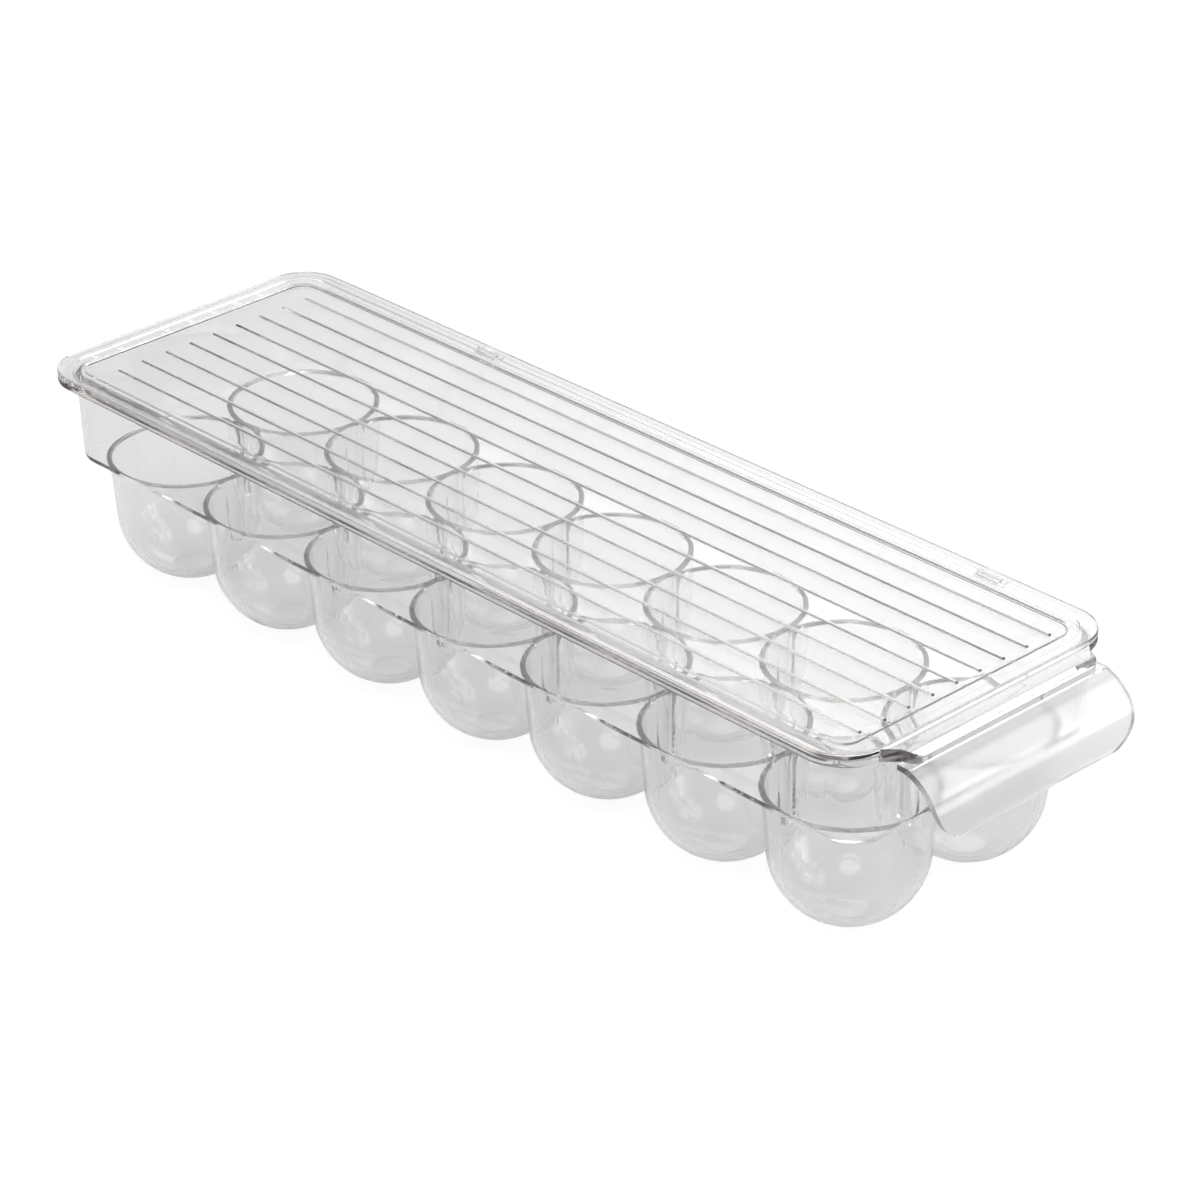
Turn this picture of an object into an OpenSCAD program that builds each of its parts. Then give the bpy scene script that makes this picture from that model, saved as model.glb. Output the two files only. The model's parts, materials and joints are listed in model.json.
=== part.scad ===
// Covered egg keeper: a clear tray with two rows of cups, a pull handle and a flip lid.
// +Z is up, the pull handle points to -Y and the lid's hinge runs along the +X side.
// The origin is on the ground, below the middle of the whole outline.

/* [Cups] */
// Cups in each of the two rows
cups_per_row = 7; // [3:1:9]
// Centre distance of neighbouring cups
cup_pitch = 48; // [40:0.5:60]
// Gap between neighbouring bowls at their widest
bowl_gap = 1.5; // [1.2:0.1:3]
// Height of the deck's underside above the feet
cup_depth = 39.8; // [32:0.2:50]
// Wall of a cup
cup_wall = 1.7; // [1.2:0.1:2.2]
// Slope of the cup's upper part, from the vertical
cup_taper = 4; // [2:0.5:5]
// Radius of the flat foot
foot_r = 6.7; // [4:0.1:12]
// Width of the web that fills the narrow gap between two cups
web_w = 7.4; // [4:0.2:12]
// Height of the web's lower end above the feet
web_z = 20; // [12:0.5:26]

/* [Deck] */
// Thickness of the deck between the cups
deck_t = 1.8; // [1.6:0.1:3]
// Radius of the rounded lip round each cup
lip_r = 1.5; // [0.8:0.1:1.5]

/* [Wall] */
// Height of the wall, from the deck's underside to the rim
wall_h = 27; // [20:0.5:45]
// Thickness of the wall
wall_t = 1.8; // [1.4:0.1:2.4]
// Outward lean of the wall, in degrees
wall_draft = 2.12; // [1:0.02:3]
// Outer corner radius of the wall at the deck
wall_corner_r = 11; // [8:0.5:16]
// Room between the cups' outer faces and the wall's outer face
wall_room = 0.77; // [0.5:0.01:3]
// Extra room behind the last cups
rear_room = 1.7; // [0:0.1:6]
// Radius under the rim, on the outside of the wall
flare_r = 1.5; // [1:0.1:2]

/* [Rim] */
// Reach of the rim past the wall at the sides and the back
rim_reach = 4.7; // [4.6:0.1:7]
// Reach of the rim past the wall at the front
rim_front_reach = 0.8; // [0.5:0.1:2]
// Thickness of the rim plate
rim_t = 1.65; // [1.4:0.05:2]
// Outer corner radius of the rim and the lid
rim_corner_r = 14; // [12:0.5:18]
// Radius of the round bead along the rim's edge, which is also the hinge bar
bead_r = 1.2; // [1:0.05:1.4]
// Height of the bead above the rim plate
bead_proud = 0.15; // [0.1:0.05:0.3]

/* [Hinge] */
// Running gap between the hinge bar and the lid
hinge_gap = 0.3; // [0.2:0.05:0.5]
// Thickness of the lid's hinge clips
clip_t = 1.15; // [0.9:0.05:1.4]
// Length of a hinge clip along the bar
clip_l = 9; // [6:0.5:14]
// Angle at which the clip's hook ends below the bar
clip_end = 295; // [275:1:298]
// Distance of the front hinge's middle from the rim's front edge
front_hinge_in = 46; // [30:0.5:70]
// Distance of the rear hinge's middle from the rim's back edge
rear_hinge_in = 90.7; // [40:0.1:100]

/* [Lid] */
// Thickness of the lid
lid_t = 1.8; // [1.4:0.1:2.4]
// Width of the raised border round the lid
border_w = 5.2; // [4:0.1:6.5]
// Width of the ledge inside the border
ledge_w = 3.3; // [2.6:0.1:5]
// Step from the border down to the ledge, and from the ledge down to the panel
lid_step = 0.5; // [0.3:0.05:0.6]
// Number of ribs on the panel
ribs = 9; // [3:2:15]
// Radius of the lid's outer edges
lid_edge_r = 0.45; // [0.3:0.05:0.6]
// Width of a rib
rib_w = 1.1; // [0.7:0.1:1.6]
// Height of a rib
rib_h = 0.6; // [0.3:0.05:0.8]
// Radius of a rib's upper edges
rib_edge_r = 0.25; // [0.1:0.05:0.25]
// Distance of the outer ribs from the lid's side edges
rib_side_in = 16.8; // [13:0.1:24]
// Distance of the ribs' front ends from the lid's front edge
rib_front_in = 10.6; // [10:0.1:20]
// Distance of the ribs' rear ends from the lid's back edge
rib_back_in = 18.9; // [10:0.1:30]

/* [Front shelf and pull handle] */
// Reach of the shelf past the rim
shelf_reach = 8.9; // [7:0.1:14]
// Half length of the shelf where it meets the lid
shelf_half_l = 42; // [38:0.5:44]
// How much shorter each end of the shelf is at its front
shelf_slant = 4; // [2:0.5:6]
// Radius of the shelf's front corners
shelf_corner_r = 5; // [3:0.5:6]
// Thickness of the shelf at its front edge
shelf_edge_t = 1.8; // [1.4:0.1:2.2]
// Depth of the flat part of the shelf's top
shelf_flat = 4.9; // [3:0.1:6]
// Width of the shelf's rear leg, which joins the rim
shelf_leg = 1.8; // [1.4:0.1:2.2]
// Width of the shelf's front leg, which the handle hangs from
handle_root_w = 4.5; // [3.8:0.1:5]
// How far the pocket between the two legs narrows toward its top
pocket_narrowing = 0.6; // [0.2:0.1:1]
// Distance of the pocket's top below the rim's top
pocket_below = 0.2; // [0.1:0.1:0.6]
// Half width of the pull handle
handle_half_w = 40; // [34:0.5:42]
// Outer radius of the handle's curved front
handle_r = 16; // [14:0.5:22]
// Height of the handle's curve below the shelf
handle_arc_h = 15.3; // [12:0.1:15.9]
// Height of the straight skirt below the curve
handle_skirt = 3.9; // [2:0.1:10]
// Thickness of the handle
handle_t = 2; // [1.6:0.1:2.6]
// Radius of the handle's lower corners
handle_corner_r = 12; // [6:0.5:14]

/* [Hidden] */
$fn = 96;
// How far a cutter reaches past what it cuts
over = 1;

// The cup's outline: a ball below, and a cone above that touches it
cup_r = (cup_pitch - bowl_gap) / 2;
ball_z = sqrt(cup_r * cup_r - foot_r * foot_r);
touch_r = cup_r * cos(cup_taper);
touch_z = ball_z - cup_r * sin(cup_taper);
cup_top_r = touch_r + (cup_depth - touch_z) * tan(cup_taper);
hollow_r = cup_r - cup_wall;
hollow_touch_r = hollow_r * cos(cup_taper);
hollow_touch_z = ball_z - hollow_r * sin(cup_taper);
hollow_top_r = hollow_touch_r + (cup_depth - hollow_touch_z) * tan(cup_taper);

// The deck and the wall, measured from the middle of the cups
deck_z = cup_depth;
deck_top = deck_z + deck_t;
grid_half_l = (cups_per_row - 1) / 2 * cup_pitch;
wall_x = cup_pitch / 2 + cup_top_r + wall_room;
wall_front = -(grid_half_l + cup_top_r + wall_room);
wall_back = grid_half_l + cup_top_r + wall_room + rear_room;
lean = wall_h * tan(wall_draft);
foot_fillet = wall_t;

// The rim, whose bead carries the hinge
rim_z = deck_z + wall_h;
rim_top = rim_z + rim_t;
rim_x = wall_x + lean + rim_reach;
rim_front = wall_front - lean - rim_front_reach;
rim_back = wall_back + lean + rim_reach;
hinge_x = rim_x - bead_r;
hinge_z = rim_top + bead_proud - bead_r;
clip_in_r = bead_r + hinge_gap;
clip_out_r = clip_in_r + clip_t;
slot_r = clip_out_r + hinge_gap;
slot_l = clip_l + 2 * hinge_gap;
front_hinge_y = rim_front + front_hinge_in;
rear_hinge_y = rim_back - rear_hinge_in;

// The lid lies one hinge gap above the bead
lid_z = hinge_z + clip_in_r;
lid_top = lid_z + lid_t;
ledge_top = lid_top - lid_step;
panel_top = ledge_top - lid_step;
rib_pitch = 2 * (rim_x - rib_side_in) / (ribs - 1);

// The shelf is flush with the lid, and the handle hangs from its front edge
shelf_back = rim_front - hinge_gap;
shelf_front = rim_front - shelf_reach;
shelf_drop = lid_top - rim_z - shelf_edge_t;
handle_y = shelf_front + sqrt(handle_r * handle_r - handle_arc_h * handle_arc_h);
handle_z = rim_z - handle_arc_h;
handle_front = handle_y - handle_r;
handle_root = shelf_front + handle_root_w;

// The middle of the cups lies behind the middle of the whole outline
grid_y = -(rim_back + handle_front) / 2;

CLEAR = [0.86, 0.89, 0.91, 0.45];
CUPS = 2 * cups_per_row;

// Points along an arc, from angle a0 to angle a1
function arc(centre, r, a0, a1, steps = 8) =
    [for (i = [0 : steps]) let (a = a0 + (a1 - a0) * i / steps) centre + r * [cos(a), sin(a)]];

// Middle of cup i: the near row counts from 1 at the back, and the far row goes on from there
function cup_x(i) = (i <= cups_per_row ? -1 : 1) * cup_pitch / 2;
function cup_y(i) = grid_half_l - cup_pitch * ((i - 1) % cups_per_row);

// A plate with round corners, from one corner point to the other
module round_plate(x0, x1, y0, y1, r, z0, z1) {
    h = z1 - z0;
    translate([x0 + r, y0, z0]) cube([x1 - x0 - 2 * r, y1 - y0, h]);
    translate([x0, y0 + r, z0]) cube([r, y1 - y0 - 2 * r, h]);
    translate([x1 - r, y0 + r, z0]) cube([r, y1 - y0 - 2 * r, h]);
    for (corner = [[x1 - r, y1 - r, 0], [x0 + r, y1 - r, 90], [x0 + r, y0 + r, 180], [x1 - r, y0 + r, 270]])
        translate([corner[0], corner[1], z0]) rotate([0, 0, corner[2]])
            rotate_extrude(angle = 90) square([r, h]);
}

// A flat ring whose outer and inner outlines lie in0 and in1 inside the rim's outline
module round_ring(in0, in1, z0, z1) {
    difference() {
        round_plate(-rim_x + in0, rim_x - in0, rim_front + in0, rim_back - in0,
            rim_corner_r - in0, z0, z1);
        round_plate(-rim_x + in1, rim_x - in1, rim_front + in1, rim_back - in1,
            rim_corner_r - in1, z0 - over, z1 + over);
    }
}

// Carries a section round the tray: four corners, three straight runs and, if wanted, the front.
// The section's x counts outward from a line that lies r inside the outline.
module sweep_round(x0, x1, y0, y1, r, front = true) {
    across = x1 - x0 - 2 * r;
    along = y1 - y0 - 2 * r;
    runs = [[x1 - r, y0 + r, along], [x1 - r, y1 - r, across], [x0 + r, y1 - r, along],
            [x0 + r, y0 + r, across]];
    for (i = [0 : 3]) translate([runs[i][0], runs[i][1], 0]) {
        if (i < 3 || front)
            rotate([90, 0, 90 * i]) translate([0, 0, -runs[i][2]]) linear_extrude(runs[i][2])
                children();
        rotate([0, 0, 90 * i - 90]) rotate_extrude(angle = 90) children();
    }
}

// Cylinder along Y on the hinge axis
module on_hinge(y, r, l) {
    translate([hinge_x, y + l / 2, hinge_z]) rotate([90, 0, 0]) cylinder(r = r, h = l);
}

module hinge_slots() {
    on_hinge(front_hinge_y, slot_r, slot_l);
    on_hinge(rear_hinge_y, slot_r, slot_l);
}

// Wall section: round at its foot, leaning outward, flared below the rim
module wall_section() {
    foot = wall_corner_r;
    top = wall_corner_r + lean;
    slope = lean / wall_h;
    flare_z = rim_z - flare_r;
    polygon(concat(
        [[foot - wall_t, deck_z]],
        arc([foot - foot_fillet, deck_z + foot_fillet], foot_fillet, -60, 0, 4),
        [[foot + slope * (flare_z - deck_z), flare_z]],
        arc([top + flare_r, flare_z], flare_r, 165, 90, 5),
        [[top - wall_t, rim_z], [foot - wall_t, deck_top]]
    ));
}

module tray_wall() {
    color(CLEAR) translate([0, grid_y, 0]) difference() {
        sweep_round(-wall_x, wall_x, wall_front, wall_back, wall_corner_r) wall_section();
        hinge_slots();
    }
}

// Inside of the rim: it lines up with the wall's inner face
module rim_opening() {
    inner = lean - wall_t;
    round_plate(-wall_x - inner, wall_x + inner, wall_front - inner, wall_back + inner,
        wall_corner_r + inner, rim_z - over, rim_top + over);
}

// Round edge of the rim, flat where it is level with the rim's underside
module bead_section() {
    intersection() {
        translate([rim_corner_r - bead_r, hinge_z]) circle(bead_r);
        translate([rim_corner_r - 2 * bead_r, rim_z]) square([2 * bead_r, 2 * bead_r]);
    }
}

module tray_rim() {
    color(CLEAR) translate([0, grid_y, 0]) difference() {
        union() {
            difference() {
                round_plate(-hinge_x, hinge_x, rim_front + bead_r, rim_back - bead_r,
                    rim_corner_r - bead_r, rim_z, rim_top);
                rim_opening();
            }
            translate([rim_corner_r - rim_x, rim_front, rim_z])
                cube([2 * (rim_x - rim_corner_r), bead_r, rim_t]);
            sweep_round(-rim_x, rim_x, rim_front, rim_back, rim_corner_r, front = false)
                bead_section();
        }
        hinge_slots();
    }
}

// One hinge bar: the bead where it bridges a slot in the rim
module hinge_bar(y) {
    color(CLEAR) translate([0, grid_y, 0]) on_hinge(y, bead_r, slot_l);
}

module front_hinge_bar() { hinge_bar(front_hinge_y); }

module rear_hinge_bar() { hinge_bar(rear_hinge_y); }

// Round hole in the deck, with a rounded upper lip
module lip_cutter() {
    rotate_extrude() polygon(concat(
        [[0, deck_z - over], [hollow_top_r, deck_z - over]],
        arc([hollow_top_r + lip_r, deck_top - lip_r], lip_r, 180, 90, 6),
        [[hollow_top_r + lip_r, deck_top + over], [0, deck_top + over]]
    ));
}

module cup_deck() {
    color(CLEAR) translate([0, grid_y, 0]) difference() {
        round_plate(-wall_x + wall_t, wall_x - wall_t, wall_front + wall_t, wall_back - wall_t,
            wall_corner_r - wall_t, deck_z, deck_top);
        for (i = [1 : CUPS]) translate([cup_x(i), cup_y(i), 0]) lip_cutter();
    }
}

// Ball and cone that touch each other, cut flat at floor_z
module cup_form(ball_r, top_r, floor_z, top_z) {
    rotate_extrude() polygon(concat(
        [[0, floor_z]],
        arc([0, ball_z], ball_r, -acos(sqrt(ball_r * ball_r - pow(ball_z - floor_z, 2)) / ball_r),
            -cup_taper, 12),
        [[top_r, cup_depth], [top_r + (top_z - cup_depth) * tan(cup_taper), top_z], [0, top_z]]
    ));
}

// Cup i, cut off half way to each neighbour
module egg_cup(i) {
    x = cup_x(i);
    y = cup_y(i);
    place = (i - 1) % cups_per_row;
    half = cup_pitch / 2;
    inward = x > 0 ? -1 : 1;
    to_back = place == 0 ? cup_pitch : half;
    to_front = place == cups_per_row - 1 ? cup_pitch : half;
    x0 = inward > 0 ? -cup_pitch : -half;
    color(CLEAR) translate([x, y + grid_y, 0]) difference() {
        intersection() {
            union() {
                cup_form(cup_r, cup_top_r, 0, cup_depth);
                translate([-web_w / 2, place == cups_per_row - 1 ? 0 : -half, web_z])
                    cube([web_w, (place == 0 || place == cups_per_row - 1) ? half : cup_pitch,
                        cup_depth - web_z]);
                translate([inward > 0 ? 0 : -half, -web_w / 2, web_z])
                    cube([half, web_w, cup_depth - web_z]);
            }
            translate([x0, -to_front, 0]) cube([cup_pitch + half, to_front + to_back, cup_depth]);
        }
        cup_form(hollow_r, hollow_top_r, cup_wall, cup_depth + over);
    }
}

// Side view of the shelf, as seen from +X: x is depth and y is height
module shelf_section() {
    pocket_top = rim_top - pocket_below;
    polygon(concat(
        [[rim_front, rim_z], [rim_front, rim_top], [shelf_back, rim_top], [shelf_back, lid_top]],
        [[shelf_back - shelf_flat, lid_top]],
        [for (i = [1 : 6]) let (t = 15 * i)
            [shelf_back - shelf_flat - (shelf_back - shelf_flat - shelf_front) * sin(t),
             lid_top - shelf_drop * (1 - cos(t))]],
        [[shelf_front, rim_z], [handle_root, rim_z]],
        [[handle_root + pocket_narrowing, pocket_top], [rim_front - shelf_leg, pocket_top]],
        [[rim_front - shelf_leg, rim_z]]
    ));
}

// Plan of the shelf: slanted ends and round front corners
module shelf_plan() {
    lead = shelf_half_l - shelf_slant;
    c = [lead - shelf_corner_r, shelf_front + shelf_corner_r];
    right = concat([[shelf_half_l, rim_front + over]], arc(c, shelf_corner_r, 20, -90, 8));
    polygon(concat(right, [for (i = [len(right) - 1 : -1 : 0]) [-right[i][0], right[i][1]]]));
}

module front_shelf() {
    color(CLEAR) translate([0, grid_y, 0]) intersection() {
        translate([-shelf_half_l, 0, 0]) rotate([90, 0, 90]) linear_extrude(2 * shelf_half_l)
            shelf_section();
        translate([0, 0, rim_z - over]) linear_extrude(lid_top - rim_z + 2 * over) shelf_plan();
    }
}

// Side view of the handle: a curved hood with a straight skirt and a round lower edge
module handle_section() {
    tip_r = handle_t / 2;
    root_a = 180 - asin(handle_arc_h / handle_r);
    inner_r = handle_r - handle_t;
    inner_a = 180 - acos((handle_y - handle_root) / inner_r);
    polygon(concat(
        arc([handle_y, handle_z], handle_r, root_a, 180, 10),
        arc([handle_front + tip_r, handle_z - handle_skirt + tip_r], tip_r, 180, 360, 8),
        arc([handle_y, handle_z], inner_r, 180, inner_a, 10),
        [[handle_root, rim_z]]
    ));
}

// Front view of the handle: round lower corners
module handle_front_view() {
    r = handle_corner_r;
    low = handle_z - handle_skirt;
    polygon(concat(
        [[handle_half_w, rim_z + over]],
        arc([handle_half_w - r, low + r], r, 0, -90, 10),
        arc([r - handle_half_w, low + r], r, -90, -180, 10),
        [[-handle_half_w, rim_z + over]]
    ));
}

module pull_handle() {
    color(CLEAR) translate([0, grid_y, 0]) intersection() {
        translate([-handle_half_w, 0, 0]) rotate([90, 0, 90]) linear_extrude(2 * handle_half_w)
            handle_section();
        translate([0, handle_root + over, 0]) rotate([90, 0, 0])
            linear_extrude(handle_root - handle_front + 2 * over) handle_front_view();
    }
}

// One rib with rounded upper edges and round ends, laid along the lid
module rib() {
    r = rib_w / 2;
    y0 = rim_front + rib_front_in + r;
    y1 = rim_back - rib_back_in - r;
    right = concat([[r, 0]], arc([r - rib_edge_r, rib_h - rib_edge_r], rib_edge_r, 0, 90, 4));
    left = [for (i = [len(right) - 1 : -1 : 0]) [-right[i][0], right[i][1]]];
    translate([0, y1, 0]) rotate([90, 0, 0]) linear_extrude(y1 - y0) polygon(concat(right, left));
    for (end = [[y0, 180], [y1, 0]]) translate([0, end[0], 0]) rotate([0, 0, end[1]])
        rotate_extrude(angle = 180) polygon(concat([[0, 0]], right, [[0, rib_h]]));
}

// Section of the raised border, with round outer edges
module border_section() {
    middle = rim_corner_r - lid_edge_r;
    polygon(concat(
        [[rim_corner_r - border_w, lid_z]],
        arc([middle, lid_z + lid_edge_r], lid_edge_r, -90, 0, 4),
        arc([middle, lid_top - lid_edge_r], lid_edge_r, 0, 90, 4),
        [[rim_corner_r - border_w, lid_top]]
    ));
}

module lid_panel() {
    ledge_in = border_w + ledge_w;
    color(CLEAR) translate([0, grid_y, 0]) union() {
        sweep_round(-rim_x, rim_x, rim_front, rim_back, rim_corner_r) border_section();
        round_ring(border_w, ledge_in, lid_z, ledge_top);
        round_plate(-rim_x + ledge_in, rim_x - ledge_in, rim_front + ledge_in, rim_back - ledge_in,
            rim_corner_r - ledge_in, lid_z - 2 * lid_step, panel_top);
        for (i = [0 : ribs - 1])
            translate([rib_side_in - rim_x + i * rib_pitch, 0, panel_top]) rib();
    }
}

// One hinge clip: a hook that hangs from the lid and reaches round the bar
module hinge_clip(y) {
    top_a = 180 - asin(clip_in_r / clip_out_r);
    color(CLEAR) translate([hinge_x, y + grid_y + clip_l / 2, hinge_z]) rotate([90, 0, 0])
        linear_extrude(clip_l) polygon(concat(
            arc([0, 0], clip_out_r, top_a, clip_end, 16),
            arc([0, 0], clip_in_r, clip_end, 90, 20)
        ));
}

module front_hinge_clip() { hinge_clip(front_hinge_y); }

module rear_hinge_clip() { hinge_clip(rear_hinge_y); }

tray_wall();
tray_rim();
cup_deck();
for (i = [1 : CUPS])
    egg_cup(i);
front_shelf();
pull_handle();
front_hinge_bar();
rear_hinge_bar();
lid_panel();
front_hinge_clip();
rear_hinge_clip();
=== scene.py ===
"""Looks, studio and camera for a clear egg keeper: a two-row cup tray with a pull handle and a flip lid.

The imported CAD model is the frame. Each clear moulding is one closed surface worked out with numpy from the
part's own sizes, so that light passes through it as through one piece of plastic. Sizes are in millimetres
until a mesh is made. +Z is up, the handle points to -Y and the hinge runs along the +X side.
"""

import json
import logging
import math
from dataclasses import dataclass, field
from enum import Enum

import bmesh
import bpy
import numpy as np
from mathutils import Matrix, Vector


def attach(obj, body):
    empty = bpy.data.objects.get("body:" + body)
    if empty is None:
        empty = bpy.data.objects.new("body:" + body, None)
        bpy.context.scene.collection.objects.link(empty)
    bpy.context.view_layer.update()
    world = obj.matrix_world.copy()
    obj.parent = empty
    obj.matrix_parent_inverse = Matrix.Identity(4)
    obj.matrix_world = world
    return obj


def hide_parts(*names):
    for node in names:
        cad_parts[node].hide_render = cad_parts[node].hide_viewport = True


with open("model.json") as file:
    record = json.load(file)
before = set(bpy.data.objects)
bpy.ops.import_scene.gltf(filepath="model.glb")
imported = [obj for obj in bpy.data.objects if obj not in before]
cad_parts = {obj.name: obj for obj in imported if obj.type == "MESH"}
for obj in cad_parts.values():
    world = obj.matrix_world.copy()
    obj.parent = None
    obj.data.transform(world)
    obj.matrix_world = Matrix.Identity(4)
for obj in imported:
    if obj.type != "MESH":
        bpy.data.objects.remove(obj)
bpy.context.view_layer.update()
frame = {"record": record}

LOG = logging.getLogger("egg_keeper")
MM = 0.001
QUARTERS = (-90.0, 0.0, 90.0, 180.0)


# Shapes ------------------------------------------------------------------------------------------

def arc(cx: float, cz: float, r: float, start: float, end: float, steps: int) -> np.ndarray:
    """Points on a circle: centre plus r times the cosine and sine of angles from start to end.

    Args:
        cx: First coordinate of the centre.
        cz: Second coordinate of the centre.
        r: Radius.
        start: First angle in degrees.
        end: Last angle in degrees.
        steps: Number of equal steps between them.

    Returns:
        An array of steps + 1 rows of two coordinates.
    """
    turn = np.radians(np.linspace(start, end, steps + 1))
    return np.stack([cx + r * np.cos(turn), cz + r * np.sin(turn)], axis=1)


def blend(start: np.ndarray, end: np.ndarray, shares: np.ndarray) -> np.ndarray:
    """Values part of the way from start to end: start plus share times their difference.

    Args:
        start: Values at share 0, one for each column.
        end: Values at share 1, one for each column.
        shares: The shares, one for each row.

    Returns:
        An array with a row for each share.
    """
    return start[None, :] + np.asarray(shares)[:, None] * (end - start)[None, :]


def stack(plan: np.ndarray, z: np.ndarray) -> np.ndarray:
    """Plan points with a height each, as points in space."""
    return np.concatenate([plan, np.broadcast_to(z, plan.shape[:-1])[..., None]], axis=-1)


@dataclass(frozen=True)
class RoundLoop:
    """Points round a rectangle with round corners, counter-clockwise from above.

    Each point is a centre plus a unit outward direction times the corner radius, so the outline moves out
    or in by a change of that radius.
    """

    centres: np.ndarray
    outward: np.ndarray
    radius: float

    def at(self, offset: float | np.ndarray) -> np.ndarray:
        """The outline moved outward by offset."""
        return self.centres + self.outward * (self.radius + np.asarray(offset))[..., None]

    @staticmethod
    def make(half_x: float, front: float, back: float, radius: float, marks_x: np.ndarray,
             marks_y: np.ndarray, corners: list[np.ndarray]) -> "RoundLoop":
        """Lays the points out: front, right, back and left side, with a corner after each.

        Args:
            half_x: Half width.
            front: Lowest y.
            back: Highest y.
            radius: Corner radius.
            marks_x: Rising x of the points on the straight front and back.
            marks_y: Rising y of the points on the straight sides.
            corners: Angles in degrees of the points on the four corners, in their order.

        Returns:
            The loop.
        """
        x, low, high = half_x - radius, front + radius, back - radius
        centres, outward = [], []
        sides = [
            (np.stack([marks_x, np.full_like(marks_x, low)], 1), (0.0, -1.0), (x, low)),
            (np.stack([np.full_like(marks_y, x), marks_y], 1), (1.0, 0.0), (x, high)),
            (np.stack([marks_x[::-1], np.full_like(marks_x, high)], 1), (0.0, 1.0), (-x, high)),
            (np.stack([np.full_like(marks_y, -x), marks_y[::-1]], 1), (-1.0, 0.0), (-x, low)),
        ]
        for (line, facing, corner), angles in zip(sides, corners):
            turn = np.radians(angles)
            centres += [line, np.tile(corner, (len(turn), 1))]
            outward += [np.tile(facing, (len(line), 1)), np.stack([np.cos(turn), np.sin(turn)], 1)]
        return RoundLoop(np.concatenate(centres), np.concatenate(outward), radius)


@dataclass
class Moulding:
    """Collects grids of points into one closed surface, in millimetres, and makes the mesh."""

    name: str
    points: list[np.ndarray] = field(default_factory=list)
    faces: list[np.ndarray] = field(default_factory=list)
    count: int = 0

    def sheet(self, grid: np.ndarray, round_columns: bool = False, flip: bool = False) -> None:
        """Adds a grid of points as quads: point (row, column) joins the next row and the next column.

        Args:
            grid: Points with the shape rows, columns, 3.
            round_columns: True if the last column joins the first.
            flip: True to turn the faces over.
        """
        rows, columns = grid.shape[:2]
        index = np.arange(rows * columns).reshape(rows, columns) + self.count
        if round_columns:
            index = np.hstack([index, index[:, :1]])
        quads = np.stack([index[:-1, :-1], index[:-1, 1:], index[1:, 1:], index[1:, :-1]], axis=-1)
        quads = quads.reshape(-1, 4)
        self.faces.append(quads[:, ::-1] if flip else quads)
        self.points.append(grid.reshape(-1, 3))
        self.count += rows * columns

    def plate(self, over: np.ndarray, below: np.ndarray) -> None:
        """Adds two grids of the same shape and the four strips that close the space between them."""
        self.sheet(over)
        self.sheet(below, flip=True)
        for pick in (np.s_[0], np.s_[-1], np.s_[:, 0], np.s_[:, -1]):
            self.sheet(np.stack([over[pick], below[pick]]))

    def build(self, shift_y: float = 0.0, weld: float = 0.0004) -> bpy.types.Object:
        """Welds the grids along their shared edges and makes an object whose faces point outwards.

        Args:
            shift_y: Move along Y, in millimetres.
            weld: Distance in millimetres under which points become one.

        Returns:
            The new object, at the origin.
        """
        points = (np.concatenate(self.points) + (0.0, shift_y, 0.0)) * MM
        mesh = bpy.data.meshes.new(self.name)
        mesh.from_pydata(points, [], np.concatenate(self.faces).tolist())
        shape = bmesh.new()
        shape.from_mesh(mesh)
        bmesh.ops.remove_doubles(shape, verts=shape.verts, dist=weld * MM)
        bmesh.ops.recalc_face_normals(shape, faces=shape.faces)
        if shape.calc_volume(signed=True) < 0.0:
            bmesh.ops.reverse_faces(shape, faces=shape.faces)
        open_edges = sum(not edge.is_manifold for edge in shape.edges)
        LOG.info("%s: %d faces, %d open edges, %.0f mm3", self.name, len(shape.faces), open_edges,
                 shape.calc_volume() / MM**3)
        shape.to_mesh(mesh)
        shape.free()
        made = bpy.data.objects.new(self.name, mesh)
        bpy.context.scene.collection.objects.link(made)
        return made


class Join(Enum):
    """How one solid changes another."""

    ADD = "UNION"
    CUT = "DIFFERENCE"


def combine(base: bpy.types.Object, others: list[bpy.types.Object], how: Join) -> None:
    """Joins closed solids to base, or cuts them from it, and removes them.

    Args:
        base: The object that keeps the result.
        others: The solids that are used up.
        how: Whether they are added or cut.
    """
    for other in others:
        step = base.modifiers.new(how.name.lower(), "BOOLEAN")
        step.operation, step.object, step.solver = how.value, other, "MANIFOLD"
        bpy.context.view_layer.update()
        view = base.evaluated_get(bpy.context.evaluated_depsgraph_get())
        mesh = bpy.data.meshes.new_from_object(view)
        base.modifiers.clear()
        old, base.data = base.data, mesh
        mesh.name = base.name
        bpy.data.meshes.remove(old)
        bpy.data.meshes.remove(other.data)


def finish_normals(piece: bpy.types.Object, crease: float = 32.0) -> None:
    """Shades a piece smooth, with creases kept and flat faces flat.

    Args:
        piece: The piece.
        crease: Angle between two faces, in degrees, from which their edge stays sharp.
    """
    piece.data.shade_smooth()
    piece.data.set_sharp_from_angle(angle=math.radians(crease))
    even = piece.modifiers.new("even_normals", "WEIGHTED_NORMAL")
    even.keep_sharp = True
    even.weight = 50


# The part's sizes --------------------------------------------------------------------------------

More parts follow.
